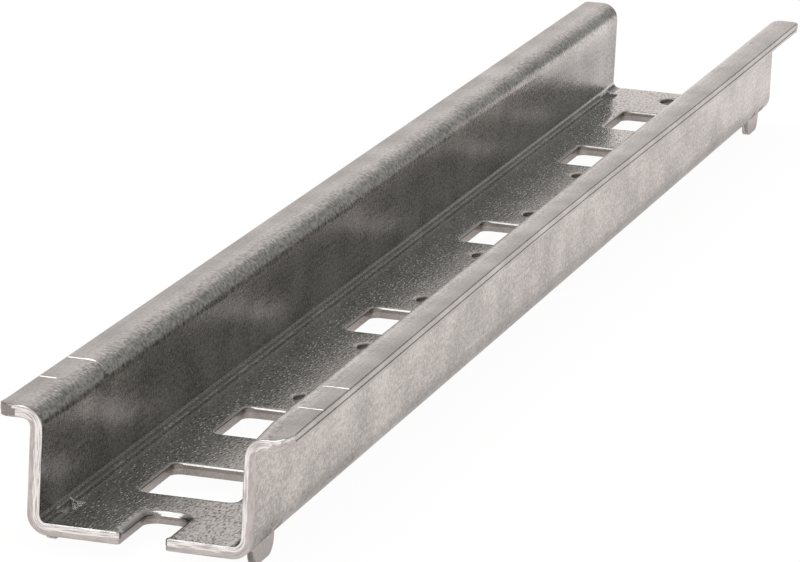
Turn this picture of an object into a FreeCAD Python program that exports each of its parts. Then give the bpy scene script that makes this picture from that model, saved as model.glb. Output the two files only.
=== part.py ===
# Mounting rail of top-hat section, 35 mm wide and 15 mm high, for devices that clip on its two lips.
# One strip of 1.5 mm zinc-plated steel, bent along its length and punched: one solid, node "rail".
# Frame: X along the rail, Y across it, Z up. The origin lies midway along, under the middle of the
# channel, on the plane of the four feet. The end with the open slot points towards -X.
import FreeCAD, Part
import os

import Sketcher

NODE = "rail"

# Driving dimensions in millimetres
SIZES = {
    "rail_length": 280.0,
    "lip_span": 35.0,
    "rail_height": 15.0,
    "channel_width": 27.0,
    "sheet_thickness": 1.5,
    "bend_radius": 1.0,
    "lip_corner_radius": 1.3,
    "pitch": 28.8,
    "window_length": 14.0,
    "window_width": 12.0,
    "window_corner_radius": 1.2,
    "small_hole_diameter": 4.0,
    "end_hole_diameter": 5.3,
    "end_hole_inset": 7.0,
    "end_slot_length": 10.4,
    "end_slot_width": 5.3,
    "end_slot_radius": 1.8,
    "end_slot_shift": 0.4,
    "mouth_radius": 0.6,
    "foot_depth": 1.9,
    "foot_length": 7.6,
    "foot_thickness": 0.9,
    "foot_inset": 7.8,
    "foot_side_gap": 0.9,
    "foot_corner_radius": 1.9,
    "nick_length": 5.0,
    "nick_width": 1.7,
    "nick_depth": 1.0,
    "nick_wall_gap": 0.3,
}
SMALL_HOLES = 6
WINDOWS = 4


class Size:
    """A length that carries its number and the sheet formula that it follows."""

    def __init__(self, number, formula):
        self.number = number
        self.formula = formula

    def combine(self, other, sign):
        if not isinstance(other, Size):
            other = Size(other, str(other))
        number = {
            "+": lambda a, b: a + b,
            "-": lambda a, b: a - b,
            "*": lambda a, b: a * b,
            "/": lambda a, b: a / b,
        }[sign](self.number, other.number)
        return Size(number, f"({self.formula} {sign} {other.formula})")

    def __add__(self, other):
        return self.combine(other, "+")

    def __sub__(self, other):
        return self.combine(other, "-")

    def __mul__(self, other):
        return self.combine(other, "*")

    def __truediv__(self, other):
        return self.combine(other, "/")

    def __neg__(self):
        return self * -1


def size_sheet(doc):
    """The sheet of driving dimensions, one named cell for each."""
    sheet = doc.addObject("Spreadsheet::Sheet", "Sizes")
    for row, (alias, value) in enumerate(SIZES.items(), start=1):
        sheet.set(f"A{row}", alias)
        sheet.set(f"B{row}", str(value))
        sheet.setAlias(f"B{row}", alias)
    doc.recompute()
    return {alias: Size(value, f"Sizes.{alias}") for alias, value in SIZES.items()}


def origin_feature(body, role):
    return next(f for f in body.Origin.OriginFeatures if f.Role == role)


def new_sketch(body, role, name):
    sketch = body.newObject("Sketcher::SketchObject", name)
    sketch.AttachmentSupport = [(origin_feature(body, role), "")]
    sketch.MapMode = "FlatFace"
    return sketch


def drive(sketch, constraint, name, size):
    """Adds a dimension to a sketch and binds it to the sheet."""
    index = sketch.addConstraint(constraint)
    sketch.renameConstraint(index, name)
    sketch.setExpression(f"Constraints.{name}", size.formula)


def place(sketch, kind, geometry, point, name, size):
    """Fixes a point's distance from the sketch's origin along one axis, either side of it."""
    if size.number >= 0:
        constraint = Sketcher.Constraint(kind, -1, 1, geometry, point, size.number)
        drive(sketch, constraint, name, size)
    else:
        constraint = Sketcher.Constraint(kind, geometry, point, -1, 1, -size.number)
        drive(sketch, constraint, name, -size)


def square_outline(sketch, name, corners):
    """A closed outline of level and upright lines, each corner (across, up, radius or None)."""
    count = len(corners)
    spots = [FreeCAD.Vector(a.number, b.number, 0) for a, b, radius in corners]
    ways = [(spots[(i + 1) % count] - spots[i]).normalize() for i in range(count)]
    cut = [0.0 if radius is None else radius.number for a, b, radius in corners]
    lines = []
    for i in range(count):
        start = spots[i] + ways[i] * cut[i]
        end = spots[(i + 1) % count] - ways[i] * cut[(i + 1) % count]
        lines.append(sketch.addGeometry(Part.LineSegment(start, end)))
    for i, (across, up, radius) in enumerate(corners):
        before, after = lines[i - 1], lines[i]
        if radius is None:
            sketch.addConstraint(Sketcher.Constraint("Coincident", before, 2, after, 1))
            continue
        into, out = ways[i - 1], ways[i]
        centre = spots[i] - into * cut[i] + out * cut[i]
        bulge = spots[i] + (centre - spots[i]) * (1 - 0.5**0.5)
        arc = Part.Arc(spots[i] - into * cut[i], bulge, spots[i] + out * cut[i])
        bend = sketch.addGeometry(arc)
        turns_left = into.cross(out).z > 0
        start, end = (1, 2) if turns_left else (2, 1)
        sketch.addConstraint(Sketcher.Constraint("Tangent", before, 2, bend, start))
        sketch.addConstraint(Sketcher.Constraint("Tangent", bend, end, after, 1))
        drive(sketch, Sketcher.Constraint("Radius", bend, cut[i]), f"{name}_radius_{i}", radius)
    for i, line in enumerate(lines):
        across, up, radius = corners[i]
        if abs(ways[i].x) > abs(ways[i].y):
            sketch.addConstraint(Sketcher.Constraint("Horizontal", line))
            place(sketch, "DistanceY", line, 1, f"{name}_level_{i}", up)
        else:
            sketch.addConstraint(Sketcher.Constraint("Vertical", line))
            place(sketch, "DistanceX", line, 1, f"{name}_side_{i}", across)


def rectangle(sketch, name, middle, length, breadth, radius=None):
    """A rectangle about a middle point, with round corners if a radius is given."""
    left, right = middle[0] - length / 2, middle[0] + length / 2
    low, high = middle[1] - breadth / 2, middle[1] + breadth / 2
    corners = [(left, low), (right, low), (right, high), (left, high)]
    square_outline(sketch, name, [(across, up, radius) for across, up in corners])


def circle(sketch, name, across, diameter):
    """A circle on the rail's centre line."""
    centre = FreeCAD.Vector(across.number, 0, 0)
    normal = FreeCAD.Vector(0, 0, 1)
    ring = sketch.addGeometry(Part.Circle(centre, normal, diameter.number / 2))
    sketch.addConstraint(Sketcher.Constraint("PointOnObject", ring, 3, -1))
    place(sketch, "DistanceX", ring, 3, f"{name}_place", across)
    constraint = Sketcher.Constraint("Diameter", ring, diameter.number)
    drive(sketch, constraint, f"{name}_diameter", diameter)


def pad(body, name, sketch, length, middle=False):
    feature = body.newObject("PartDesign::Pad", name)
    feature.Profile = sketch
    feature.Midplane = middle
    feature.setExpression("Length", length.formula)
    return feature


def punch(body, name, sketch):
    """Cuts upwards from the floor plane through the whole web."""
    feature = body.newObject("PartDesign::Pocket", name)
    feature.Profile = sketch
    feature.Type = "ThroughAll"
    feature.Reversed = True
    return feature


def mirror_to_other_end(body, name, features):
    feature = body.newObject("PartDesign::Mirrored", name)
    feature.Originals = features
    feature.MirrorPlane = (origin_feature(body, "YZ_Plane"), [""])
    body.Tip = feature
    return feature


def mirror_both_ways(body, name, features):
    """Repeats features on the other side of the channel, and both at the other end."""
    sides = body.newObject("PartDesign::MultiTransform", name)
    sides.Originals = features
    mirrors = []
    for role in ("XZ_Plane", "YZ_Plane"):
        mirror = body.newObject("PartDesign::Mirrored", f"{name}_{role}")
        mirror.MirrorPlane = (origin_feature(body, role), [""])
        mirrors.append(mirror)
    sides.Transformations = mirrors
    body.Tip = sides
    return sides


def repeat_along(body, name, feature, spacing, copies):
    row = body.newObject("PartDesign::LinearPattern", name)
    row.Originals = [feature]
    row.Direction = (origin_feature(body, "X_Axis"), [""])
    row.Occurrences = copies
    row.setExpression("Length", (spacing * (copies - 1)).formula)
    body.Tip = row
    return row


def bent_strip(body, size):
    """The strip bent to its top-hat section: web, two walls and two lips turned outwards."""
    thickness = size["sheet_thickness"]
    inside = size["bend_radius"]
    outside = inside + thickness
    under = size["foot_depth"]
    top = under + size["rail_height"]
    wall = size["channel_width"] / 2
    edge = size["lip_span"] / 2
    right_half = [
        (wall - thickness, under + thickness, inside),
        (wall - thickness, top, outside),
        (edge, top, None),
        (edge, top - thickness, None),
        (wall, top - thickness, inside),
        (wall, under, outside),
    ]
    left_half = [(-across, up, radius) for across, up, radius in reversed(right_half)]
    sketch = new_sketch(body, "YZ_Plane", "Section")
    square_outline(sketch, "section", right_half + left_half)
    return pad(body, "Strip", sketch, size["rail_length"], middle=True)


def feet(body, size):
    """Four thin feet lanced down out of the bends, each under a nick in the channel's corner."""
    along = size["foot_inset"] - size["rail_length"] / 2
    web_top = size["foot_depth"] + size["sheet_thickness"]
    left, right = along - size["foot_length"] / 2, along + size["foot_length"] / 2
    floor = Size(0.0, "0")
    side_view = [
        (left, floor, size["foot_corner_radius"]),
        (right, floor, size["foot_corner_radius"]),
        (right, web_top, None),
        (left, web_top, None),
    ]
    foot_sketch = new_sketch(body, "XZ_Plane", "FootOutline")
    square_outline(foot_sketch, "foot", side_view)
    outer_face = size["channel_width"] / 2 - size["foot_side_gap"]
    foot_sketch.setExpression("AttachmentOffset.Base.z", (-outer_face).formula)
    foot = pad(body, "Foot", foot_sketch, size["foot_thickness"])
    inner_face = size["channel_width"] / 2 - size["sheet_thickness"]
    across = inner_face - size["nick_wall_gap"] - size["nick_width"] / 2
    nick_sketch = new_sketch(body, "XY_Plane", "NickPlan")
    rectangle(nick_sketch, "nick", (along, across), size["nick_length"], size["nick_width"])
    nick_sketch.setExpression("AttachmentOffset.Base.z", web_top.formula)
    nick = body.newObject("PartDesign::Pocket", "Nick")
    nick.Profile = nick_sketch
    nick.setExpression("Length", size["nick_depth"].formula)
    return mirror_both_ways(body, "FourFeet", [foot, nick])


def windows(body, size):
    """Rounded oblong windows: four at every second pitch and one more beyond each end pair."""
    spacing = size["pitch"] * 2
    first = -(spacing * (WINDOWS - 1) / 2)
    row_sketch = new_sketch(body, "XY_Plane", "WindowPlan")
    outline = (size["window_length"], size["window_width"], size["window_corner_radius"])
    rectangle(row_sketch, "window", (first, Size(0.0, "0")), *outline)
    window = punch(body, "Window", row_sketch)
    repeat_along(body, "WindowRow", window, spacing, WINDOWS)
    end_sketch = new_sketch(body, "XY_Plane", "EndWindowPlan")
    rectangle(end_sketch, "end_window", (first - size["pitch"], Size(0.0, "0")), *outline)
    end_window = punch(body, "EndWindow", end_sketch)
    return mirror_to_other_end(body, "EndWindows", [end_window])


def round_holes(body, size):
    """Six small holes between the windows, and a larger one near the +X end."""
    sketch = new_sketch(body, "XY_Plane", "SmallHolePlan")
    first = -(size["pitch"] * (SMALL_HOLES - 1) / 2)
    circle(sketch, "small_hole", first, size["small_hole_diameter"])
    small_hole = punch(body, "SmallHole", sketch)
    repeat_along(body, "SmallHoleRow", small_hole, size["pitch"], SMALL_HOLES)
    sketch = new_sketch(body, "XY_Plane", "EndHolePlan")
    circle(sketch, "end_hole", size["rail_length"] / 2 - size["end_hole_inset"], size["end_hole_diameter"])
    return punch(body, "EndHole", sketch)


def end_slot(body, size):
    """A slot that runs out through the -X end, a little to the right of the middle."""
    sketch = new_sketch(body, "XY_Plane", "SlotPlan")
    mouth = (-(size["rail_length"] / 2), -size["end_slot_shift"])
    length = size["end_slot_length"] * 2
    rectangle(sketch, "slot", mouth, length, size["end_slot_width"], size["end_slot_radius"])
    return punch(body, "EndSlot", sketch)


def round_upright_edges(body, name, places, radius):
    """Rounds the upright edges at some places, given as (x, y)."""
    base = body.Tip
    names = []
    for number, side in enumerate(base.Shape.Edges, start=1):
        spot = side.CenterOfMass
        upright = abs(side.BoundBox.ZLength - side.Length) < 1e-6
        if upright and any(abs(spot.x - x) < 1e-6 and abs(spot.y - y) < 1e-6 for x, y in places):
            names.append(f"Edge{number}")
    if len(names) != len(places):
        raise RuntimeError(f"{name}: expected {len(places)} edges, found {len(names)}")
    fillet = body.newObject("PartDesign::Fillet", name)
    fillet.Base = (base, names)
    fillet.setExpression("Radius", radius.formula)
    return fillet


def lip_corners(body, size):
    """Rounds the four free corners of the lips, seen from above."""
    end, edge = size["rail_length"].number / 2, size["lip_span"].number / 2
    places = [(x, y) for x in (-end, end) for y in (-edge, edge)]
    return round_upright_edges(body, "LipCorners", places, size["lip_corner_radius"])


def mouth_corners(body, size):
    """Rounds the two corners of the slot's mouth."""
    end = size["rail_length"].number / 2
    middle, half = -size["end_slot_shift"].number, size["end_slot_width"].number / 2
    places = [(-end, middle - half), (-end, middle + half)]
    return round_upright_edges(body, "MouthCorners", places, size["mouth_radius"])


def check(doc, body, volumes):
    """Stops at a failed object, a broken solid, or a step that changed nothing."""
    for thing in doc.Objects:
        if "Invalid" in thing.State or "Error" in thing.State:
            raise RuntimeError(f"{thing.Name} failed: {thing.State}")
    shape = body.Shape
    if shape.isNull() or not shape.isValid() or len(shape.Solids) != 1:
        raise RuntimeError(f"{body.Label} is not one sound solid")
    for (name, before), (later, after) in zip(volumes, volumes[1:]):
        if abs(after - before) < 1e-3:
            raise RuntimeError(f"{later} changed nothing after {name}")


def build():
    doc = FreeCAD.newDocument("TopHatRail")
    size = size_sheet(doc)
    body = doc.addObject("PartDesign::Body", NODE)
    body.Label = NODE
    body.Placement = FreeCAD.Placement()
    volumes = []
    for step in (bent_strip, feet, windows, round_holes, end_slot, lip_corners, mouth_corners):
        step(body, size)
        doc.recompute()
        volumes.append((step.__name__, body.Shape.Volume))
    check(doc, body, volumes)
    os.makedirs("parts", exist_ok=True)
    body.Shape.exportStep(os.path.join("parts", f"{NODE}.step"))
    box = body.Shape.BoundBox
    print(f"{NODE}: {box.XLength:.2f} x {box.YLength:.2f} x {box.ZLength:.2f} mm")
    print(f"volume {body.Shape.Volume / 1000:.2f} cm3, lowest {box.ZMin:.2f} mm")


build()
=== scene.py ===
import math

import bpy
from mathutils import Matrix, Vector, noise
from mathutils.geometry import delaunay_2d_cdt


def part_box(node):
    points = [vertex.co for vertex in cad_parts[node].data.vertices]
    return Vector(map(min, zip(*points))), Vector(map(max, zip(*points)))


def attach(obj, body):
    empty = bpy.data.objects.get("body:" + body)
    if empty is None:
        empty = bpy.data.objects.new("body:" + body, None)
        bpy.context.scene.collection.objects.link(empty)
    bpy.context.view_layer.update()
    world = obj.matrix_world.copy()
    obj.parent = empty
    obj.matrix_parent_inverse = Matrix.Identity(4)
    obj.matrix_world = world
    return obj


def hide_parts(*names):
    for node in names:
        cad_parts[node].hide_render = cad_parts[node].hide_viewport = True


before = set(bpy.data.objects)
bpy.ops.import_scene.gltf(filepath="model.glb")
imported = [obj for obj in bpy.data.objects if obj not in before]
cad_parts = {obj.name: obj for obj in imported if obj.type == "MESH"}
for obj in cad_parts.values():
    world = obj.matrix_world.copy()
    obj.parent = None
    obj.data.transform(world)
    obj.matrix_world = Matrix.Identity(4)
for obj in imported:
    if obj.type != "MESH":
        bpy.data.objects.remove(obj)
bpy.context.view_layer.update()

# The strip and its bends
# The rail is one strip of 1.5 mm sheet steel, slit to width, punched while flat and plated with zinc,
# and then roll formed along its length to a top-hat section: a web, two walls and two lips.
MM = 0.001
half_length, half_width, lip_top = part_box("rail")[1]
sheet = 1.5 * MM
inner_bend = 1.0 * MM
outer_bend = inner_bend + sheet
middle_bend = inner_bend + sheet / 2
half_channel = 12.0 * MM
lip_root = half_channel + outer_bend
foot_depth = 1.9 * MM
web_top = foot_depth + sheet

# Where its flats and bends meet on the flat strip, by the distance across from the middle line.
web_end = half_channel - inner_bend
bend_run = middle_bend * math.pi / 2
wall_start = web_end + bend_run
wall_end = wall_start + lip_top - outer_bend - web_top - inner_bend
lip_start = wall_end + bend_run
strip_edge = lip_start + half_width - lip_root

# The right lip's free edge is a little hollow over most of its length, where the rolls pulled it in,
# and at the near end the shear pressed the lip's root down, together with the top of the wall.
edge_hollow = 0.65 * MM
hollow_length = 250.0 * MM
root_sag = 0.55 * MM
sag_length = 10.0 * MM
sag_down_wall = 3.0 * MM
sag_flat = 1.0 * MM


def fold(x, across, depth):
    """Where a point of the flat strip lies on the bent rail.

    x is its place along the rail, across its distance from the middle line, to the left if positive,
    and depth its distance from the channel side, through the sheet.
    """
    side = math.copysign(1.0, across)
    run = abs(across)
    from_end = x + half_length
    if run <= web_end:
        y, z = run, web_top - depth
    elif run <= wall_start:
        turn = (run - web_end) / middle_bend
        y = web_end + (inner_bend + depth) * math.sin(turn)
        z = web_top + inner_bend - (inner_bend + depth) * math.cos(turn)
    elif run <= wall_end:
        y, z = half_channel + depth, web_top + inner_bend + run - wall_start
    elif run <= lip_start:
        turn = (run - wall_end) / middle_bend
        y = lip_root - (outer_bend - depth) * math.cos(turn)
        z = lip_top - outer_bend + (outer_bend - depth) * math.sin(turn)
    else:
        y, z = lip_root + run - lip_start, lip_top - depth
        if side < 0 and from_end < hollow_length:
            pull = edge_hollow * math.sin(math.pi * from_end / hollow_length) ** 2
            y -= pull * (run - lip_start) / (strip_edge - lip_start)
    share = from_end / sag_length
    if side < 0 and share < 1 and run > wall_end - sag_down_wall:
        rise = min(1.0, (run - wall_end + sag_down_wall) / sag_down_wall)
        fall = min(1.0, (strip_edge - run) / (strip_edge - lip_start - sag_flat))
        z -= root_sag * max(0.0, rise * fall) * (1 - share) ** 2 * (1 + 2 * share)
    return Vector((x, side * y, z))


# The slit, sheared and punched edges
# Slitting left the long edges with a rolled shoulder and a ledge. The ends were sheared after plating
# and are bare: a bright band on the channel side and a torn grey one below it. The openings were
# punched before plating and have the same two bands under zinc.

# A profile's rows run from the channel side to the outer one. Each is an inset into the metal and a
# depth, both in mm, and the look of the faces from it to the next row.
SLIT = (
    (0.34, 0.00, "zinc"), (0.22, 0.035, "zinc"), (0.13, 0.12, "zinc"), (0.11, 0.17, "zinc"),
    (0.10, 0.45, "zinc"), (0.10, 0.80, "zinc"), (0.05, 0.86, "zinc"), (0.00, 0.90, "zinc"),
    (0.00, 1.05, "zinc"), (0.03, 1.24, "zinc"), (0.14, 1.40, "zinc"), (0.42, 1.50, "zinc"),
)
SHEARED = (
    (0.30, 0.00, "zinc"), (0.18, 0.012, "zinc"), (0.09, 0.04, "bright"), (0.03, 0.10, "bright"),
    (0.00, 0.20, "bright"), (0.00, 0.50, "bright"), (0.00, 0.84, "bright"), (0.04, 0.90, "torn"),
    (0.06, 1.16, "torn"), (0.07, 1.42, "torn"), (0.12, 1.50, "zinc"), (0.30, 1.50, "zinc"),
)
PUNCHED = (
    (0.75, 0.00, "zinc"), (0.34, 0.02, "rolled"), (0.15, 0.06, "rolled"), (0.05, 0.13, "rolled"),
    (0.00, 0.24, "cut"), (0.00, 0.50, "cut"), (0.00, 0.62, "cut"), (0.05, 0.70, "broken"),
    (0.08, 1.05, "broken"), (0.10, 1.40, "broken"), (0.16, 1.50, "zinc"), (0.34, 1.50, "zinc"),
)
SLOT = (
    (0.70, 0.00, "rolled"), (0.42, 0.10, "rolled"), (0.22, 0.22, "rolled"), (0.07, 0.36, "rolled"),
    (0.00, 0.52, "cut"), (0.00, 0.64, "cut"), (0.00, 0.80, "cut"), (0.04, 0.88, "broken"),
    (0.05, 1.12, "broken"), (0.06, 1.40, "broken"), (0.12, 1.50, "zinc"), (0.34, 1.50, "zinc"),
)
LOOKS = {"zinc": 0, "rolled": 1, "cut": 2, "broken": 3, "bright": 4, "torn": 5}

# The line between the two bands wavers. These are the rows about it, how often it turns in a metre,
# how many mm it strays near the ends and in the openings, and the lowest it comes, also in mm.
TEAR_ROWS = (6, 7, 8)
coarse_waver, fine_waver = 700, 2600
end_zone = 3.0 * MM
end_waver, opening_waver = 0.16, 0.07
lowest_tear, row_gap = 1.36, 0.01

# How much lower the near end's bright band reaches, by the distance across, both in mm.
BAND_SHIFT = (
    (-31.0, -0.4), (-27.3, -0.4), (-26.6, 0.5), (-25.4, 0.5), (-24.4, -0.24), (-12.0, -0.24),
    (-10.6, 0.0), (24.4, 0.0), (25.4, 0.5), (28.0, 0.5), (28.8, 0.0),
)

# Over this length the slot's edge turns from a sheared one at its mouth into a punched one.
mouth_run = 1.5 * MM

points = []
flat_places = []
faces = []
looks = []


def add(point, flat_place):
    """Keeps a point of the rail with its place on the flat strip: along, across and depth."""
    points.append(point)
    flat_places.append(flat_place)
    return len(points) - 1


def bent(x, across, depth):
    """Adds the point of the rail that a point of the flat strip is bent to."""
    return add(fold(x, across, depth), (x, across, depth))


def skirt(upper, lower, look_of):
    """Faces between two closed rows of points, the upper one first, with the metal on their left."""
    for i in range(len(upper)):
        j = (i + 1) % len(upper)
        faces.append((upper[j], upper[i], lower[i], lower[j]))
        looks.append(LOOKS[look_of(i)])


def offset(outline, distances):
    """The outline moved to its left, into the metal, by a distance for each point.

    A sharp corner moves at most twice its distance.
    """
    moved = []
    for i, (x, y) in enumerate(outline):
        ax, ay = outline[i - 1]
        bx, by = outline[(i + 1) % len(outline)]
        before = Vector((x - ax, y - ay)).normalized()
        after = Vector((bx - x, by - y)).normalized()
        along = (before + after).normalized()
        spread_out = max(0.5, along.dot(after))
        moved.append((x - along.y * distances[i] / spread_out, y + along.x * distances[i] / spread_out))
    return moved


def ragged_depth(x, across, depth, row_number):
    """The depth in mm of a row near the line between the bright and the torn band, made uneven."""
    waver = end_waver if abs(x) > half_length - end_zone else opening_waver
    place = Vector((x, across, 0))
    depth += waver * (noise.noise(place * coarse_waver) + 0.5 * noise.noise(place * fine_waver))
    if x < mouth_run - half_length:
        for (start, first), (end, last) in zip(BAND_SHIFT, BAND_SHIFT[1:]):
            share = (across / MM - start) / (end - start)
            if 0 <= share < 1:
                depth += first + (last - first) * share
    return min(depth, lowest_tear + row_gap * row_number - row_gap * TEAR_ROWS[0])


def tip_profile(across):
    """The left lip's near tip: bare metal that turns dull towards the corner, along a ragged line."""
    mean_run, uneven_run, noise_step = 1.6, 1.2, 1.37
    rows = []
    for number, (inset, depth, look) in enumerate(SHEARED):
        chance = noise.noise(Vector((0.5, number * noise_step, 0.5)))
        dull = across > strip_edge - (mean_run + uneven_run * chance) * MM
        rows.append((inset, depth, "cut" if dull and look != "zinc" else look))
    return tuple(rows)


def between(first, second, share):
    """A profile part of the way from one to another; it takes on the second one's looks early."""
    own_looks = 0.1
    rows = []
    for (inset, depth, look), (other_inset, other_depth, other_look) in zip(first, second):
        rows.append((
            inset + (other_inset - inset) * share,
            depth + (other_depth - depth) * share,
            look if share < own_looks else other_look,
        ))
    return tuple(rows)


def cut_edge(outline, profiles):
    """The edge's rows along one outline, with a profile for each point; gives the first and last."""
    rows = []
    for number in range(len(SLIT)):
        levels = [profile[number] for profile in profiles]
        ring = offset(outline, [inset * MM for inset, _, _ in levels])
        row = []
        for (x, across), (_, depth, _), profile in zip(ring, levels, profiles):
            mark = scribe_depth(x, across) * max(0.0, 1 - depth)
            if number in TEAR_ROWS and profile is not SLIT:
                depth = ragged_depth(x, across, depth, number)
            row.append(bent(x, across, depth * MM + mark))
        if rows:
            skirt(rows[-1][1], row, lambda i: profiles[i][number - 1][2])
        rows.append((ring, row))
    return rows[0], rows[-1]


def straight(start, end, step):
    """Points from start towards end, without the end itself."""
    count = max(1, round(math.dist(start, end) / step))
    return [
        (start[0] + (end[0] - start[0]) * i / count, start[1] + (end[1] - start[1]) * i / count)
        for i in range(count)
    ]


def arc(centre, radius, start, end, steps):
    """Points of an arc from start to end in degrees, without the last one."""
    turns = [math.radians(start + (end - start) * i / steps) for i in range(steps)]
    return [(centre[0] + radius * math.cos(t), centre[1] + radius * math.sin(t)) for t in turns]


def stations(step):
    """Distances across the strip at which it has points: close in the bends, step apart elsewhere."""
    bend_steps = 8
    marks = [0.0]
    for end, curved in ((web_end, False), (wall_start, True), (wall_end, False),
                        (lip_start, True), (strip_edge, False)):
        start = marks[-1]
        count = bend_steps if curved else max(1, round((end - start) / step))
        marks += [start + (end - start) * i / count for i in range(1, count + 1)]
    return [-m for m in reversed(marks[1:])] + marks


# The scribed lines
# Six lines are scratched across the lips near both ends. The tool stood aslant, so each line has a
# steep side and a flatter one, and its metal is bare and bright.

# Each line's place from the near end, its lip, 1 for the left and -1 for the right, where it starts
# across from the lip's bend, and its depth, all in mm.
SCRIBES = (
    (13.5, 1, 0.2, 0.09), (23.5, 1, -1.7, 0.15), (13.5, -1, -0.9, 0.06), (24.1, -1, -1.0, 0.10),
    (258.5, -1, -0.6, 0.07), (270.6, -1, 0.3, 0.06),
)

# How far a line's steep side runs along the rail, how many times its depth its flatter side runs, and
# over what length from its start it reaches its depth.
steep_run = 0.10 * MM
flat_run_to_depth = 2.1
run_in = 0.5 * MM


def scribe_columns(place, depth):
    """Where a scribed line starts, is deepest and ends, along the rail."""
    middle = place * MM - half_length
    return middle - steep_run, middle, middle + flat_run_to_depth * depth * MM


def scribe_depth(x, across):
    """How deep the scribed lines are at a point of the flat strip."""
    for place, side, start, depth in SCRIBES:
        first, middle, last = scribe_columns(place, depth)
        beyond = across * side - lip_start - start * MM
        if beyond > 0 and first < x < last:
            share = (x - first) / (middle - first) if x < middle else (last - x) / (last - middle)
            return depth * MM * share * min(1.0, beyond / run_in)
    return 0.0


def along_edge(start, end, side):
    """Points along a long edge, with three more at each scribed line and none close beside it."""
    count, clear = 276, 0.5 * MM
    lines = [scribe_columns(place, depth) for place, lip, _, depth in SCRIBES if lip == side]
    places = [start + (end - start) * i / count for i in range(count)]
    places = [x for x in places if all(abs(x - line[1]) > clear for line in lines)]
    places += [x for line in lines for x in line]
    return [(x, side * strip_edge) for x in sorted(places, reverse=end < start)]


# The outlines of the strip and its openings
# Punched down the middle of the flat strip are six windows, six small round holes between them, a
# fixing hole near the far end and, at the near end, a slot that runs out through the edge. The lips'
# corners are rounded, the near right one most. Places are in pitches from the rail's middle.
pitch = 28.8 * MM
window_places = (-4, -3, -1, 1, 3, 4)
window_length, window_width = 14.0 * MM, 12.0 * MM
window_corner = 1.2 * MM
small_hole_places = (-2.5, -1.5, -0.5, 0.5, 1.5, 2.5)
small_hole_radius = 2.0 * MM
end_hole_inset = 7.0 * MM
end_hole_radius = 2.65 * MM
slot_end = -half_length + 10.4 * MM
slot_left, slot_right = 2.25 * MM, -3.05 * MM
slot_corner = 1.8 * MM
mouth_corner = 0.6 * MM
lip_corner = 1.3 * MM
near_right_along, near_right_across = 1.8 * MM, 1.7 * MM

# How finely the outlines are drawn: steps in each corner or hole, and lengths on the straights.
window_corner_steps, mouth_corner_steps, slot_corner_steps = 6, 6, 16
lip_corner_steps, near_right_steps = 7, 8
small_hole_steps, end_hole_steps = 20, 28
window_step, slot_step, slot_end_step, end_step = 0.8 * MM, 0.5 * MM, 0.4 * MM, 0.45 * MM


def window(middle):
    """A rounded window's outline, clockwise, so that the metal is on its left."""
    a, b = window_length / 2 - window_corner, window_width / 2 - window_corner
    corners = ((a, b, 90), (a, -b, 0), (-a, -b, -90), (-a, b, -180))
    outline = []
    for number, (x, y, start) in enumerate(corners):
        next_x, next_y, _ = corners[(number + 1) % 4]
        outline += arc((middle + x, y), window_corner, start, start - 90, window_corner_steps)
        end = math.radians(start - 90)
        out_x, out_y = window_corner * math.cos(end), window_corner * math.sin(end)
        outline += straight((middle + x + out_x, y + out_y), (middle + next_x + out_x, next_y + out_y),
                            window_step)
    return outline


def slot_outline():
    """The slot's edge from the left corner of its mouth round to the right one."""
    inner = slot_end - slot_corner
    mouth = -half_length + mouth_corner
    left, right = slot_left - slot_corner, slot_right + slot_corner
    return (
        arc((mouth, slot_left + mouth_corner), mouth_corner, 180, 270, mouth_corner_steps)
        + straight((mouth, slot_left), (inner, slot_left), slot_step)
        + arc((inner, left), slot_corner, 90, 0, slot_corner_steps)
        + straight((slot_end, left), (slot_end, right), slot_end_step)
        + arc((inner, right), slot_corner, 0, -90, slot_corner_steps)
        + straight((inner, slot_right), (mouth, slot_right), slot_step)
        + arc((mouth, slot_right - mouth_corner), mouth_corner, 90, 180, mouth_corner_steps)
        + [(-half_length, slot_right - mouth_corner)]
    )


def strip_outline():
    """The strip's own edge, anticlockwise, and the profile that each of its points has."""
    hair, clear = 0.02 * MM, 0.1 * MM
    left, right = half_length - lip_corner, strip_edge - lip_corner
    across = [m for m in stations(end_step) if abs(m) < right - hair]
    corner_start = near_right_across - strip_edge
    mouth_right = slot_right - mouth_corner - clear
    mouth_left = slot_left + mouth_corner + clear
    right_end = [m for m in reversed(across) if corner_start + clear < m < mouth_right]
    left_end = [m for m in reversed(across) if m > mouth_left]
    near_right = [
        (near_right_along - half_length + near_right_along * x, corner_start + near_right_across * y)
        for x, y in arc((0, 0), 1.0, 180, 270, near_right_steps)
    ]
    # The last three parts have no profile of their own here: tip_profile gives one for each point.
    parts = (
        ([(-half_length, m) for m in right_end], SHEARED),
        (near_right, SHEARED),
        (along_edge(near_right_along - half_length, left, -1), SLIT),
        (arc((left, -right), lip_corner, 270, 360, lip_corner_steps), SHEARED),
        ([(half_length, -right)] + [(half_length, m) for m in across], SHEARED),
        (arc((left, right), lip_corner, 0, 90, lip_corner_steps), SHEARED),
        (along_edge(left, -left, 1), SLIT),
        (arc((-left, right), lip_corner, 90, 180, lip_corner_steps), None),
        ([(-half_length, right)], None),
        ([(-half_length, m) for m in left_end], None),
    )
    outline, profiles = [], []
    for part, profile in parts:
        outline += part
        profiles += [profile or tip_profile(m) for _, m in part]
    for x, m in slot_outline():
        outline.append((x, m))
        profiles.append(between(SHEARED, SLOT, min(1.0, (x + half_length) / mouth_run)))
    return outline, profiles


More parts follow.
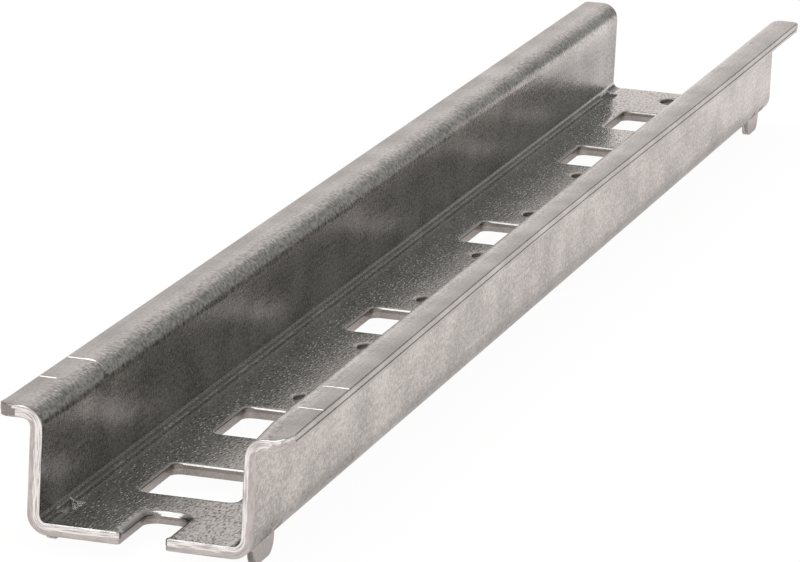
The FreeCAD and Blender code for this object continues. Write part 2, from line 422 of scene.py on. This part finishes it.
upper_ring, lower_ring = cut_edge(*strip_outline())
upper_rings, lower_rings = [upper_ring], [lower_ring]
holes = [window(place * pitch) for place in window_places]
for place in small_hole_places:
    holes.append(arc((place * pitch, 0), small_hole_radius, 360, 0, small_hole_steps))
holes.append(arc((half_length - end_hole_inset, 0), end_hole_radius, 360, 0, end_hole_steps))
for hole in holes:
    upper_ring, lower_ring = cut_edge(hole, [PUNCHED] * len(hole))
    upper_rings.append(upper_ring)
    lower_rings.append(lower_ring)

# The feet and the nicks behind them
# A blunt tool was driven into each lower bend near the ends: it left a nick in the channel's corner
# and pushed out a foot with rounded lower corners, on which the rail stands.
foot_middle = half_length - 7.8 * MM
foot_half = 3.8 * MM
foot_corner = 1.9 * MM
foot_flat = 0.7 * MM
nick_half = 2.5 * MM

# The inner and the outer face of a foot and of a nick, from the rail's middle line.
foot_side = (11.7 * MM, 12.6 * MM)
nick_side = (10.0 * MM, 11.7 * MM)

# A nick's depth at its middle, and how much deeper and shallower it is at its two ends, in mm.
nick_drop, nick_slope = 0.55, 0.35
nick_steps, cross_steps = 4, 4


def across_at(y, depth):
    """The distance across the strip of a point on the lower bend, from how far it is to the side."""
    if abs(y) <= web_end:
        return y
    turn = math.asin(min(1.0, (abs(y) - web_end) / (inner_bend + depth)))
    return math.copysign(web_end + middle_bend * turn, y)


def block_ring(middle, runs, sides, flare):
    """A rectangle in plan, anticlockwise, as points (x, y); flare widens it all round."""
    near, far = min(sides) - flare, max(sides) + flare
    end = runs[-1] + flare
    inner = [middle + r for r in runs[1:-1]]
    cross = [near + (far - near) * i / cross_steps for i in range(cross_steps + 1)]
    ring = [(middle - end, near)] + [(x, near) for x in inner] + [(middle + end, y) for y in cross]
    return ring + [(x, far) for x in reversed(inner)] + [(middle - end, y) for y in reversed(cross[1:])]


def raise_block(middle, runs, sides, depth, flare, shoulder_drop, draft, floor_at):
    """A foot or a nick: its flared rim in the sheet's surface, its walls and the face that ends it."""
    wide = block_ring(middle, runs, sides, flare)
    exact = block_ring(middle, runs, sides, 0.0)
    narrow = block_ring(middle, runs, sides, -draft)
    is_foot = depth > 0
    rim = [(x, across_at(y, depth)) for x, y in wide]
    rim_row = [bent(x, across, depth) for x, across in rim]
    shoulder_row, floor_row = [], []
    for (x, y), (floor_x, floor_y) in zip(exact, narrow):
        across = across_at(y, depth)
        surface = fold(x, across, depth)
        shoulder_row.append(add(Vector((x, y, surface.z - shoulder_drop)), (x, across, depth)))
        floor_depth = depth + sheet if is_foot else depth - sheet
        floor_row.append(add(Vector((floor_x, floor_y, floor_at(x - middle))), (x, across, floor_depth)))
    # Painted light on the feet: their rims and walls take the paler torn-steel look, which lightens
    # faces that mirror the shaded floor. Painted highlight on the nicks: their flared rims take the
    # bright bare-steel look, a painted glint along the edge.
    rim_look, wall_look = ("torn", "torn") if is_foot else ("bright", "zinc")
    for upper, lower, look in ((rim_row, shoulder_row, rim_look), (shoulder_row, floor_row, wall_look)):
        for i in range(len(exact)):
            j = (i + 1) % len(exact)
            corners = (upper[j], upper[i], lower[i], lower[j])
            faces.append(corners if is_foot else corners[::-1])
            looks.append(LOOKS[look])
    side_count, end_count = len(runs), cross_steps - 1
    near_side = floor_row[:side_count]
    end_edge = floor_row[side_count:side_count + end_count]
    far_side = floor_row[side_count + end_count:2 * side_count + end_count][::-1]
    start_edge = floor_row[2 * side_count + end_count:]
    for i in range(side_count - 1):
        corners = [near_side[i], near_side[i + 1], far_side[i + 1], far_side[i]]
        if i == side_count - 2:
            corners[2:2] = end_edge
        if i == 0:
            corners += start_edge
        faces.append(tuple(corners[::-1] if is_foot else corners))
        looks.append(LOOKS["zinc"])
    return rim, rim_row


def foot_bottom(run):
    """How high the foot's underside is, a distance along from its middle."""
    beyond = max(0.0, abs(run) - (foot_half - foot_corner))
    return foot_corner - math.sqrt(max(0.0, foot_corner ** 2 - beyond ** 2))


def nick_floor(run, end):
    """How high the nick's floor is; it slopes down towards the middle of the rail."""
    return web_top - (nick_drop - nick_slope * end * run / nick_half) * MM


foot_arc = []
for degrees in range(0, 91, 15):
    foot_arc.append(foot_half - foot_corner + foot_corner * math.sin(math.radians(degrees)))
foot_runs = [-r for r in reversed(foot_arc)] + [-foot_flat, foot_flat] + foot_arc
nick_runs = [nick_half * i / nick_steps for i in range(-nick_steps, nick_steps + 1)]
for end in (-1, 1):
    for side in (-1, 1):
        lower_rings.append(raise_block(
            end * foot_middle, foot_runs, [side * y for y in foot_side], sheet,
            flare=0.04 * MM, shoulder_drop=0.02 * MM, draft=0.0, floor_at=foot_bottom,
        ))
        upper_rings.append(raise_block(
            end * foot_middle, nick_runs, [side * y for y in nick_side], 0.0,
            flare=0.14 * MM, shoulder_drop=0.10 * MM, draft=0.4 * MM,
            floor_at=lambda run: nick_floor(run, end),
        ))

# The two sides of the sheet
# Between its edges the strip is plain plated sheet, on the channel side and on the outer one. Each
# side is covered with triangles between the outlines and a net of points over the strip.
net_across, net_along = 1.9 * MM, 2.0 * MM
hole_clear, block_clear, slot_clear = 0.35 * MM, 0.12 * MM, 1.05 * MM
ON_NET = -1


def inside(point, ring):
    """Whether a point of the flat strip lies within a closed outline."""
    hit = False
    for i, (x, y) in enumerate(ring):
        px, py = ring[i - 1]
        if (y > point.y) != (py > point.y):
            if point.x < (px - x) * (point.y - y) / (py - y) + x:
                hit = not hit
    return hit


def kept_clear(rings):
    """Boxes (x from, x to, across from, across to) about the openings and blocks, free of the net."""
    boxes = [(-half_length, slot_end + slot_clear, slot_right - slot_clear, slot_left + slot_clear)]
    for ring, _ in rings[1:]:
        starts_in_web = abs(ring[0][1]) < 0.9 * web_end
        clear = hole_clear if starts_in_web else block_clear
        xs, ys = [x for x, _ in ring], [y for _, y in ring]
        boxes.append((min(xs) - clear, max(xs) + clear, min(ys) - clear, max(ys) + clear))
    return boxes


def scribe_points():
    """Boxes about the scribed lines, free of the net, and the columns of close points along them."""
    edge_clear, steep_clear, flat_clear, step = 0.4 * MM, 0.45 * MM, 0.6 * MM, 0.22 * MM
    boxes, columns = [], []
    for place, side, start, line_depth in SCRIBES:
        line_columns = scribe_columns(place, line_depth)
        first, last = sorted((side * (lip_start + start * MM), side * (strip_edge - edge_clear)))
        boxes.append((line_columns[1] - steep_clear, line_columns[1] + flat_clear, first, last))
        count = round((last - first) / step)
        line = [first + (last - first) * i / count for i in range(count + 1)]
        columns += [(x, line) for x in line_columns]
    return boxes, columns


def cover(rings, depth):
    """Triangles between the outlines of one side of the sheet. Each ring is (flat points, indices)."""
    channel_side = depth == 0
    flat, index, owner, edges = [], [], [], []
    for number, (ring, row) in enumerate(rings):
        edges += [(len(flat) + i, len(flat) + (i + 1) % len(ring)) for i in range(len(ring))]
        flat += [Vector(place) for place in ring]
        owner += [number] * len(ring)
        index += row
    boxes = kept_clear(rings)
    scribe_boxes, scribe_lines = scribe_points() if channel_side else ([], [])
    boxes += scribe_boxes
    net = stations(net_across)[1:-1]
    net_count = round(2 * half_length / net_along)
    columns = [(-half_length + net_along * i, net) for i in range(1, net_count)]
    for x, marks in columns + scribe_lines:
        for across in marks:
            if marks is net and any(a < x < b and c < across < d for a, b, c, d in boxes):
                continue
            flat.append(Vector((x, across)))
            owner.append(ON_NET)
            mark = scribe_depth(x, across) if channel_side else 0.0
            index.append(bent(x, across, depth + mark))
    whole_hull, tolerance = 0, 1e-9
    _, _, triangles, origin, _, _ = delaunay_2d_cdt(flat, edges, [], whole_hull, tolerance)
    for triangle in triangles:
        a, b, c = (origin[v][0] for v in triangle)
        middle = (flat[a] + flat[b] + flat[c]) / 3
        # Triangles with all corners on one outline may lie beside the sheet or in an opening.
        if owner[a] == owner[b] == owner[c] != ON_NET:
            if inside(middle, rings[owner[a]][0]) != (owner[a] == 0):
                continue
        corners = (index[a], index[b], index[c])
        faces.append(corners if channel_side else corners[::-1])
        looks.append(LOOKS["bright" if channel_side and scribe_depth(*middle) > 0 else "zinc"])


cover(upper_rings, 0.0)
cover(lower_rings, sheet)

mesh = bpy.data.meshes.new("zinc_rail")
mesh.from_pydata(points, [], faces)
mesh.validate(verbose=True)
mesh.update()
rail = bpy.data.objects.new("zinc_rail", mesh)
bpy.context.scene.collection.objects.link(rail)
sharp_from = math.radians(21)
mesh.polygons.foreach_set("use_smooth", [True] * len(faces))
mesh.set_sharp_from_angle(angle=sharp_from)
strip_places = mesh.attributes.new("strip", "FLOAT_VECTOR", "POINT")
strip_places.data.foreach_set("vector", [number for place in flat_places for number in place])
even_shading = rail.modifiers.new("even_shading", "WEIGHTED_NORMAL")
even_shading.keep_sharp = True
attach(rail, "root")
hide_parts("rail")

# The zinc and the bare steel
# Zinc over rolled steel has a sparkling grain on the web and in the bends, drawn lines along the lips,
# short rubbing marks down the walls and slow patches of colour. The sheared ends are bare steel, bright
# and streaked above, torn and grey below. All patterns lie on the flat strip and follow its bends.


def new_node(socket, kind):
    """A new shader node in the material that a socket belongs to."""
    return socket.id_data.nodes.new(kind)


def wire(source, target):
    """Joins an output to an input of the same material."""
    source.id_data.links.new(source, target)


def stretched(strip, stretch):
    """The strip's coordinates, on which a pattern is drawn out by a factor each way."""
    mapping = new_node(strip, "ShaderNodeMapping")
    mapping.inputs["Scale"].default_value = [1 / factor for factor in stretch]
    wire(strip, mapping.inputs["Vector"])
    return mapping.outputs["Vector"]


def grain(strip, size, detail, stretch=(1.0, 1.0, 1.0)):
    """A noise pattern on the strip, its grains of a size in mm and drawn out by a factor each way."""
    pattern = new_node(strip, "ShaderNodeTexNoise")
    pattern.inputs["Scale"].default_value = 1 / (size * MM)
    pattern.inputs["Detail"].default_value = detail
    wire(stretched(strip, stretch), pattern.inputs["Vector"])
    return pattern.outputs["Fac"]


def spread(value, low_in, high_in, low_out, high_out):
    """A pattern's range turned into another one."""
    ranged = new_node(value, "ShaderNodeMapRange")
    for name, number in (("From Min", low_in), ("From Max", high_in),
                         ("To Min", low_out), ("To Max", high_out)):
        ranged.inputs[name].default_value = number
    wire(value, ranged.inputs["Value"])
    return ranged.outputs["Result"]


def swing(noise_value, low_out, high_out):
    """The range in which noise mostly lies, turned into another one."""
    low_noise, high_noise = 0.3, 0.7
    return spread(noise_value, low_noise, high_noise, low_out, high_out)


def arithmetic(operation, *parts):
    """Patterns or numbers put through one step of arithmetic."""
    node = new_node(parts[0], "ShaderNodeMath")
    node.operation = operation
    for part, socket in zip(parts, node.inputs):
        if isinstance(part, float):
            socket.default_value = part
        else:
            wire(part, socket)
    return node.outputs[0]


def dots(strip, size, stretch):
    """Round grains of a size in mm, each raised by its own chance amount, and some hardly at all."""
    core, rim = 0.05, 0.5
    flat_share, least = 0.3, 0.1
    cells = new_node(strip, "ShaderNodeTexVoronoi")
    cells.inputs["Scale"].default_value = 1 / (size * MM)
    wire(stretched(strip, stretch), cells.inputs["Vector"])
    chance = new_node(strip, "ShaderNodeSeparateColor")
    wire(cells.outputs["Color"], chance.inputs[0])
    dome = spread(cells.outputs["Distance"], core, rim, 1.0, 0.0)
    return arithmetic("MULTIPLY", dome, spread(chance.outputs[0], flat_share, 1.0, least, 1.0))


def tones(value, stops):
    """A colour band driven by a pattern."""
    band = new_node(value, "ShaderNodeValToRGB")
    ramp = band.color_ramp
    ramp.elements[0].position, ramp.elements[1].position = stops[0][0], stops[-1][0]
    ramp.elements[0].color, ramp.elements[1].color = (*stops[0][1], 1), (*stops[-1][1], 1)
    for position, colour in stops[1:-1]:
        ramp.elements.new(position).color = (*colour, 1)
    wire(value, band.inputs["Fac"])
    return band.outputs["Color"]


def bump(height, distance, before=None):
    """A bump on top of another one."""
    node = new_node(height, "ShaderNodeBump")
    node.inputs["Distance"].default_value = distance
    wire(height, node.inputs["Height"])
    if before is not None:
        wire(before, node.inputs["Normal"])
    return node.outputs["Normal"]


def metal(name):
    """A new metal's material, its shader and the strip's coordinates."""
    material = bpy.data.materials.new(name)
    material.use_nodes = True
    shader = material.node_tree.nodes["Principled BSDF"]
    shader.inputs["Metallic"].default_value = 1.0
    strip = material.node_tree.nodes.new("ShaderNodeAttribute")
    strip.attribute_name = "strip"
    return material, shader, strip.outputs["Vector"]


def part_of_strip(strip, axis):
    """One of the strip's coordinates: X along, Y across or Z deep."""
    split = new_node(strip, "ShaderNodeSeparateXYZ")
    wire(strip, split.inputs[0])
    return split.outputs[axis]


def across_the_section(strip, levels):
    """A value for each part of the section, from (distance across in mm, value) pairs."""
    distance = arithmetic("ABSOLUTE", part_of_strip(strip, "Y"))
    share = spread(distance, 0.0, strip_edge, 0.0, 1.0)
    return tones(share, [(mm * MM / strip_edge, (v, v, v)) for mm, v in levels])


def on_one_side(strip, pattern, depth):
    """A pattern kept to the side of the sheet at this depth; it fades over one thickness."""
    distance = arithmetic("ABSOLUTE", arithmetic("SUBTRACT", part_of_strip(strip, "Z"), depth))
    return arithmetic("MULTIPLY", pattern, spread(distance, 0.0, sheet, 1.0, 0.0))


def zinc(name, dark, mid, pale, rough, sparkle):
    """Zinc plating in three tones, with painted light and shade across the section; sparkle is how
    strongly its grains stand out.
    """
    # In mm across, the web ends at 11.0, the wall runs from 13.7 to 23.7 and the lip from 26.5 to 29.5.
    material, shader, strip = metal(name)
    smoother_web, smoother_lip = rough - 0.06, rough - 0.02
    painted_light_swing = 0.7
    drawn_relief, rubbed_relief, crystal_relief = 0.010, 0.020, 0.066
    crystal_strength = across_the_section(strip, (
        (0.0, 1.0), (11.0, 1.0), (12.5, 0.4), (14.5, 0.2), (22.5, 0.2), (24.5, 0.45), (26.0, 0.45),
        (27.5, 0.15), (29.5, 0.1)))
    rub_strength = across_the_section(strip, (
        (0.0, 0.0), (12.5, 0.2), (14.5, 1.0), (22.0, 1.0), (24.5, 1.5), (26.0, 1.2), (27.5, 0.1),
        (29.5, 0.1)))
    roughness = across_the_section(strip, (
        (0.0, smoother_web), (11.5, smoother_web), (14.0, rough), (24.0, rough), (27.0, smoother_lip),
        (29.5, smoother_lip)))
    # Painted light and shade on the channel side: the walls and the inner bend are painted darker, as
    # shade inside the channel. Thin painted highlight lines run along both edges of the inner bend, and
    # the web and the lip's root bend are painted a little paler, as painted light.
    channel_side = across_the_section(strip, (
        (0.0, 0.57), (10.3, 0.57), (10.5, 1.0), (10.75, 1.0), (11.0, 0.0), (12.7, 0.0), (12.95, 1.0),
        (13.3, 1.0), (13.6, 0.25), (21.0, 0.22), (24.5, 0.59), (27.0, 0.59), (28.5, 0.5), (29.5, 0.5)))
    # Painted light and shade on the outer side: the lower bend is painted darker, as a painted
    # reflection of the shaded floor close under the rail, and the outer wall is painted a little
    # lighter, as painted light.
    outer_painted_light_and_shade = across_the_section(strip, (
        (0.0, 0.5), (11.0, 0.5), (12.0, 0.25), (13.4, 0.3), (14.8, 0.58), (24.0, 0.58), (29.5, 0.5)))
    patches = grain(strip, size=9, detail=3)
    crystals = dots(strip, size=0.33, stretch=(2.5, 1.0, 1.0))
    specks = grain(strip, size=0.32, detail=1, stretch=(2.7, 1.0, 1.0))
    rubbed = grain(strip, size=0.36, detail=2, stretch=(1.8, 1.5, 1.0))
    drawn = grain(strip, size=0.5, detail=2, stretch=(40.0, 1.0, 1.0))
    marks = (
        arithmetic("MULTIPLY", swing(specks, -0.35 * sparkle, 0.9 * sparkle), crystal_strength),
        arithmetic("MULTIPLY", swing(rubbed, -0.25, 0.25), rub_strength),
        swing(drawn, -0.07, 0.07),
        on_one_side(strip, spread(channel_side, 0, 1, -painted_light_swing, painted_light_swing), 0.0),
        on_one_side(strip, spread(outer_painted_light_and_shade, 0, 1, -painted_light_swing, painted_light_swing), sheet),
    )
    tone = patches
    for mark in marks:
        tone = arithmetic("ADD", tone, mark)
    darkest = tuple(0.5 * part for part in dark)
    colour = tones(tone, ((0.0, darkest), (0.14, dark), (0.5, mid), (1.0, pale)))
    wire(colour, shader.inputs["Base Color"])
    wire(arithmetic("ADD", roughness, swing(rubbed, -0.04, 0.05)), shader.inputs["Roughness"])
    rub_height = arithmetic("MULTIPLY", rubbed, rub_strength)
    crystal_height = arithmetic("MULTIPLY", crystals, crystal_strength)
    normal = bump(drawn, drawn_relief * MM)
    normal = bump(rub_height, rubbed_relief * MM, normal)
    normal = bump(crystal_height, crystal_relief * sparkle * MM, normal)
    wire(normal, shader.inputs["Normal"])
    return material


def steel(name, dark, pale, rough, scratch, size, stretch):
    """Bare steel, streaked or broken as the shear leaves it; scratch is its relief in mm."""
    material, shader, strip = metal(name)
    streaks = grain(strip, size, detail=3, stretch=stretch)
    wire(tones(streaks, ((0.38, dark), (0.55, pale))), shader.inputs["Base Color"])
    shader.inputs["Roughness"].default_value = rough
    wire(bump(streaks, scratch * MM), shader.inputs["Normal"])
    return material


# One finish for each of LOOKS, in the same order.
for finish in (
    zinc("zinc_plating", (0.22, 0.217, 0.204), (0.34, 0.33, 0.312), (0.60, 0.586, 0.556),
         rough=0.27, sparkle=1.0),
    zinc("rolled_zinc", (0.28, 0.272, 0.26), (0.36, 0.35, 0.335), (0.45, 0.438, 0.42),
         rough=0.29, sparkle=0.1),
    zinc("zinc_on_cut", (0.17, 0.16, 0.152), (0.24, 0.225, 0.213), (0.32, 0.30, 0.285),
         rough=0.28, sparkle=0.1),
    zinc("zinc_on_break", (0.26, 0.244, 0.232), (0.35, 0.328, 0.31), (0.45, 0.424, 0.40),
         rough=0.46, sparkle=0.3),
    steel("sheared_steel", (0.42, 0.41, 0.40), (0.78, 0.77, 0.76),
          rough=0.27, scratch=0.03, size=0.16, stretch=(1.0, 14.0, 1.0)),
    steel("torn_steel", (0.40, 0.378, 0.368), (0.50, 0.475, 0.462),
          rough=0.40, scratch=0.012, size=0.3, stretch=(1.0, 5.0, 1.0)),
):
    mesh.materials.append(finish)
mesh.polygons.foreach_set("material_index", looks)

# The floor
# A sheet of pale matt studio paper. The camera sees it nearly white, with the rail's soft shadow, and
# the metal mirrors it a little warmer.
floor_mesh = bpy.data.meshes.new("floor")
reach = 6.0
floor_mesh.from_pydata([(-reach, -reach, 0), (reach, -reach, 0), (reach, reach, 0), (-reach, reach, 0)],
                       [], [(0, 1, 2, 3)])
floor = bpy.data.objects.new("floor", floor_mesh)
bpy.context.scene.collection.objects.link(floor)
paper = bpy.data.materials.new("floor_paper")
paper.use_nodes = True
paper_nodes = paper.node_tree.nodes
paper_nodes.clear()
matt = paper_nodes.new("ShaderNodeBsdfDiffuse")
matt.inputs["Color"].default_value = (0.92, 0.865, 0.85, 1)
floor_rays = paper_nodes.new("ShaderNodeLightPath").outputs
glow_tone = paper_nodes.new("ShaderNodeMix")
glow_tone.data_type = "RGBA"
glow_tone.inputs["A"].default_value = (1, 1, 1, 1)
glow_tone.inputs["B"].default_value = (1.0, 0.937, 0.92, 1)
wire(floor_rays["Is Glossy Ray"], glow_tone.inputs["Factor"])
glow = paper_nodes.new("ShaderNodeEmission")
wire(glow_tone.outputs["Result"], glow.inputs["Color"])
seen_glow, mirrored_glow = 0.96, 0.55
camera_share = arithmetic("MULTIPLY", floor_rays["Is Camera Ray"], seen_glow)
glow_share = arithmetic("MULTIPLY_ADD", floor_rays["Is Glossy Ray"], mirrored_glow, camera_share)
matt_or_glow = paper_nodes.new("ShaderNodeMixShader")
wire(glow_share, matt_or_glow.inputs["Fac"])
wire(matt.outputs[0], matt_or_glow.inputs[1])
wire(glow.outputs[0], matt_or_glow.inputs[2])
paper_output = paper_nodes.new("ShaderNodeOutputMaterial")
wire(matt_or_glow.outputs[0], paper_output.inputs["Surface"])
floor_mesh.materials.append(paper)

# The light
# A white backdrop, dimmer towards the far right, which gives the metal its darks, and soft boxes
# overhead and in front.
studio = bpy.data.worlds.new("studio")
bpy.context.scene.world = studio
studio.use_nodes = True
studio_nodes = studio.node_tree.nodes
studio_nodes.clear()
direction = studio_nodes.new("ShaderNodeTexCoord").outputs["Generated"]
toward_corner = studio_nodes.new("ShaderNodeVectorMath")
toward_corner.operation = "DOT_PRODUCT"
toward_corner.inputs[1].default_value = Vector((0.76, -0.60, 0.24)).normalized()
wire(direction, toward_corner.inputs[0])
height = studio_nodes.new("ShaderNodeSeparateXYZ")
wire(direction, height.inputs[0])
backdrop_tone = tones(height.outputs["Z"], (
    (0.19, (0.99, 0.924, 0.909)), (0.26, (0.87, 0.814, 0.80)), (0.60, (0.45, 0.44, 0.43)),
))
dimness = spread(toward_corner.outputs["Value"], 0.78, 0.915, 0.0, 1.0)
dimness.node.interpolation_type = "SMOOTHSTEP"
wall_tone = studio_nodes.new("ShaderNodeMix")
wall_tone.data_type = "RGBA"
wire(backdrop_tone, wall_tone.inputs["A"])
wall_tone.inputs["B"].default_value = (0.293, 0.298, 0.287, 1)
wire(dimness, wall_tone.inputs["Factor"])
studio_rays = studio_nodes.new("ShaderNodeLightPath").outputs
white = studio_nodes.new("ShaderNodeBackground")
white.inputs["Strength"].default_value = 1.0
mirrored = studio_nodes.new("ShaderNodeBackground")
mirrored.inputs["Strength"].default_value = 1.0
wire(wall_tone.outputs["Result"], mirrored.inputs["Color"])
fill = studio_nodes.new("ShaderNodeBackground")
fill.inputs["Strength"].default_value = 1.35
mirrored_or_fill = studio_nodes.new("ShaderNodeMixShader")
wire(studio_rays["Is Glossy Ray"], mirrored_or_fill.inputs["Fac"])
wire(fill.outputs[0], mirrored_or_fill.inputs[1])
wire(mirrored.outputs[0], mirrored_or_fill.inputs[2])
white_or_light = studio_nodes.new("ShaderNodeMixShader")
wire(studio_rays["Is Camera Ray"], white_or_light.inputs["Fac"])
wire(mirrored_or_fill.outputs[0], white_or_light.inputs[1])
wire(white.outputs[0], white_or_light.inputs[2])
studio_output = studio_nodes.new("ShaderNodeOutputWorld")
wire(white_or_light.outputs[0], studio_output.inputs["Surface"])


def soft_box(name, place, aim, size, power):
    """A rectangular lamp at a place, turned towards the point that it lights."""
    lamp = bpy.data.lights.new(name, "AREA")
    lamp.shape = "RECTANGLE"
    lamp.size, lamp.size_y = size
    lamp.energy = power
    box = bpy.data.objects.new(name, lamp)
    box.location = place
    box.rotation_euler = (Vector(aim) - Vector(place)).to_track_quat("-Z", "Y").to_euler()
    bpy.context.scene.collection.objects.link(box)


soft_box("overhead", place=(0.05, 0.25, 1.0), aim=(0, 0, 0), size=(0.9, 0.6), power=4.0)
soft_box("front", place=(-0.9, 0.3, 0.5), aim=(-0.1, 0, 0), size=(0.5, 0.4), power=1.8)

# The camera
# A long lens beyond the near end, a little to the right of the rail and above it, looks along it.
camera_data = bpy.data.cameras.new("camera")
camera_data.lens = 255.9
camera_data.sensor_width = 36.0
camera_data.clip_start, camera_data.clip_end = 0.05, 50
camera = bpy.data.objects.new("camera", camera_data)
camera_place = Vector((-0.732794, -0.187608, 0.181955))
to_the_right = Vector((0.269441, -0.961713, 0.050092))
downwards = Vector((-0.209449, -0.109292, -0.971693))
forwards = Vector((0.939964, 0.251322, -0.230877))
turned = Matrix((to_the_right, -downwards, -forwards)).transposed()
camera.matrix_world = Matrix.Translation(camera_place) @ turned.to_4x4()
bpy.context.scene.collection.objects.link(camera)
bpy.context.scene.camera = camera

bpy.context.scene.view_settings.view_transform = "Standard"
